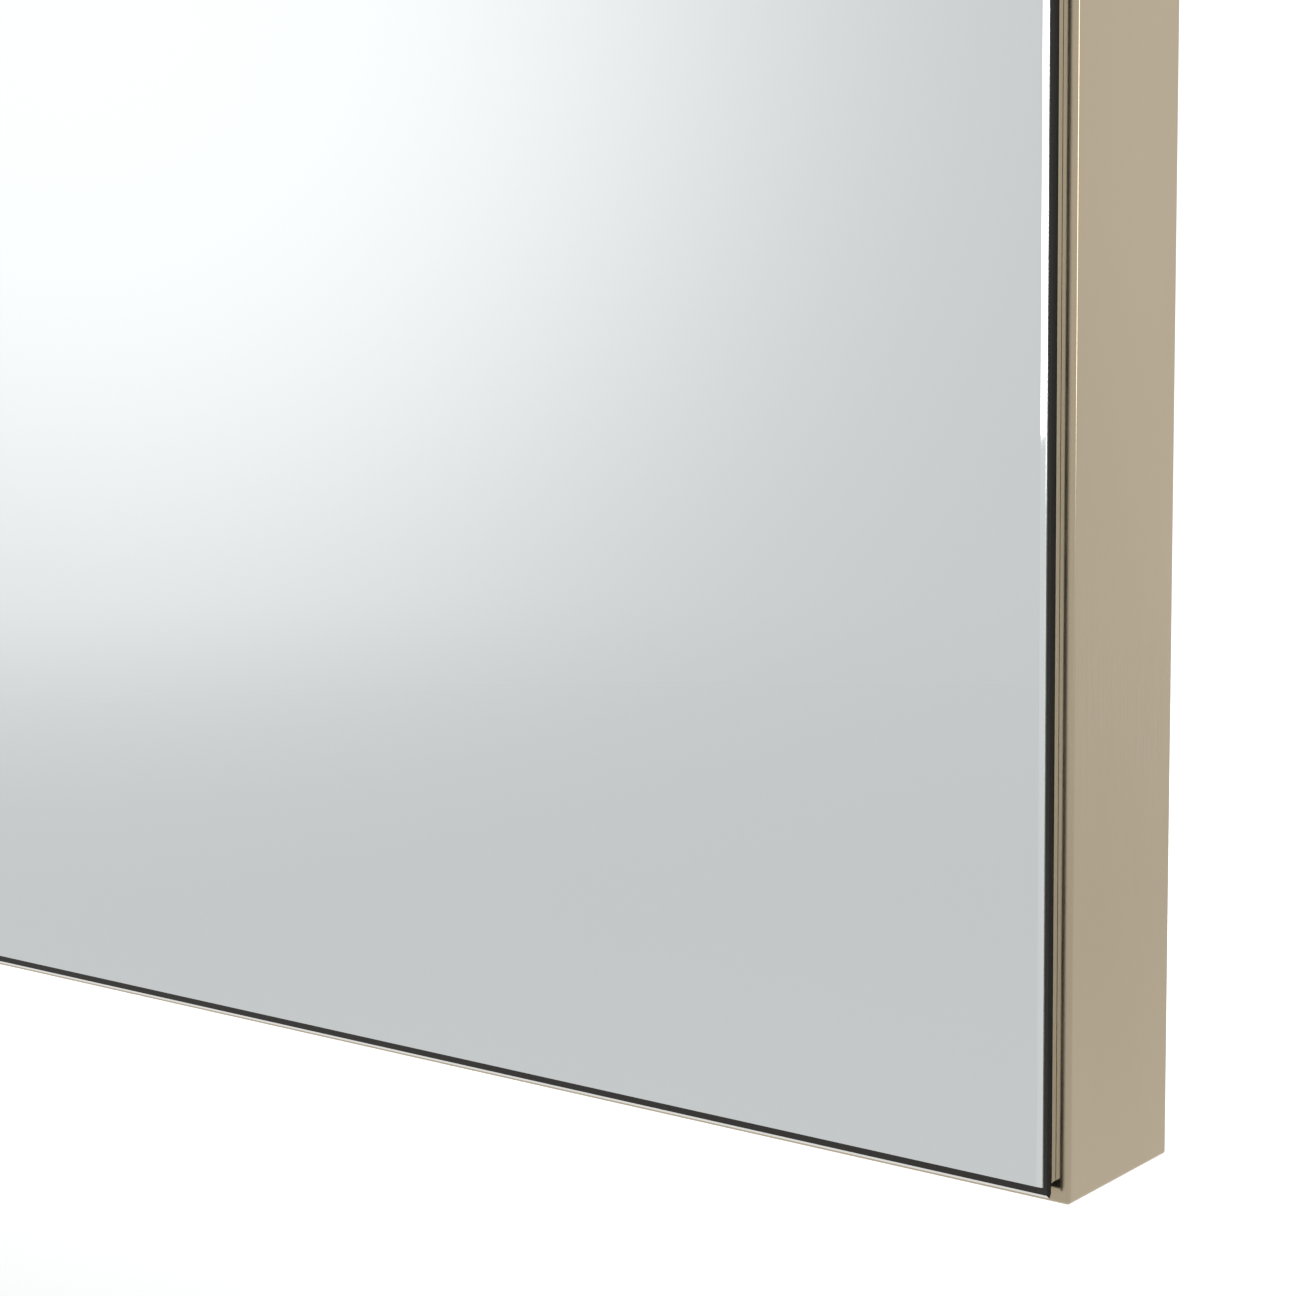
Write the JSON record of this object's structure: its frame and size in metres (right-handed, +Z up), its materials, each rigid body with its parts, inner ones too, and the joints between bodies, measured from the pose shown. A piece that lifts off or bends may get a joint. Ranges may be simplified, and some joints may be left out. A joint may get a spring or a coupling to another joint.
{
  "type": "medicine cabinet",
  "caption": "Slim wall-hung medicine cabinet: satin metal case, full overlay bevelled mirror door on a continuous hinge, glass shelves on slotted standards, magnetic catch.",
  "frame": {"origin": "centre of the wall face, midway between the four wall-screw holes", "axes": "+Z up, -Y out of the mirror door towards the user, +X to the user's right"},
  "size_m": [0.61, 0.0767, 0.762],
  "materials": {
    "case_metal": "satin champagne anodised",
    "zinc_steel": "zinc plated",
    "satin_steel": "satin stainless",
    "rivet_metal": "plain",
    "shelf_glass": "clear, ground edges",
    "mirror": "silvered, bevelled",
    "black_board": "black, satin",
    "foam_tape": "foam",
    "bumper_rubber": "matt",
    "catch_plastic": "moulded",
    "ferrite": "matt"
  },
  "bodies": {
    "case": {"case_side_left": "case_metal", "case_side_right": "case_metal", "case_top": "case_metal", "case_bottom": "case_metal", "back_panel": "case_metal", "back_rivets": "rivet_metal", "mount_rail_upper": "zinc_steel", "mount_rail_lower": "zinc_steel", "corner_brackets": "zinc_steel", "shelf_standard_front_left": "satin_steel", "shelf_standard_front_right": "satin_steel", "shelf_standard_rear_left": "satin_steel", "shelf_standard_rear_right": "satin_steel", "shelf_clips_lower": "satin_steel", "shelf_clips_middle": "satin_steel", "shelf_clips_upper": "satin_steel", "glass_shelf_lower": "shelf_glass", "glass_shelf_middle": "shelf_glass", "glass_shelf_upper": "shelf_glass", "hinge_leaf_case": "satin_steel", "hinge_pin": "satin_steel", "hinge_rivets_case": "rivet_metal", "door_bumpers": "bumper_rubber", "catch_bracket": "satin_steel", "catch_housing": "catch_plastic", "catch_screws": "satin_steel"},
    "magnet_carrier": {"magnet_block": "ferrite", "magnet_pole_plates": "satin_steel"},
    "door": {"door_pan": "satin_steel", "door_liner": "case_metal", "door_stiffener_left": "case_metal", "door_stiffener_right": "case_metal", "liner_rivets": "rivet_metal", "hinge_leaf_door": "satin_steel", "hinge_rivets_door": "rivet_metal", "mirror_tape": "foam_tape", "backing_board": "black_board", "mirror_glass": "mirror", "strike_plate": "satin_steel", "strike_rivets": "rivet_metal"}
  },
  "joints": [
    {"name": "door_hinge", "type": "hinge", "parent": "case", "child": "door", "pos_m": [-0.3025, -0.0704, 0], "axis": [0, 0, -1], "range_deg": [0, 170]},
    {"name": "magnet_float", "type": "slide", "parent": "case", "child": "magnet_carrier", "axis": [0, 1, 0], "range_m": [0, 0.001]}
  ]
}
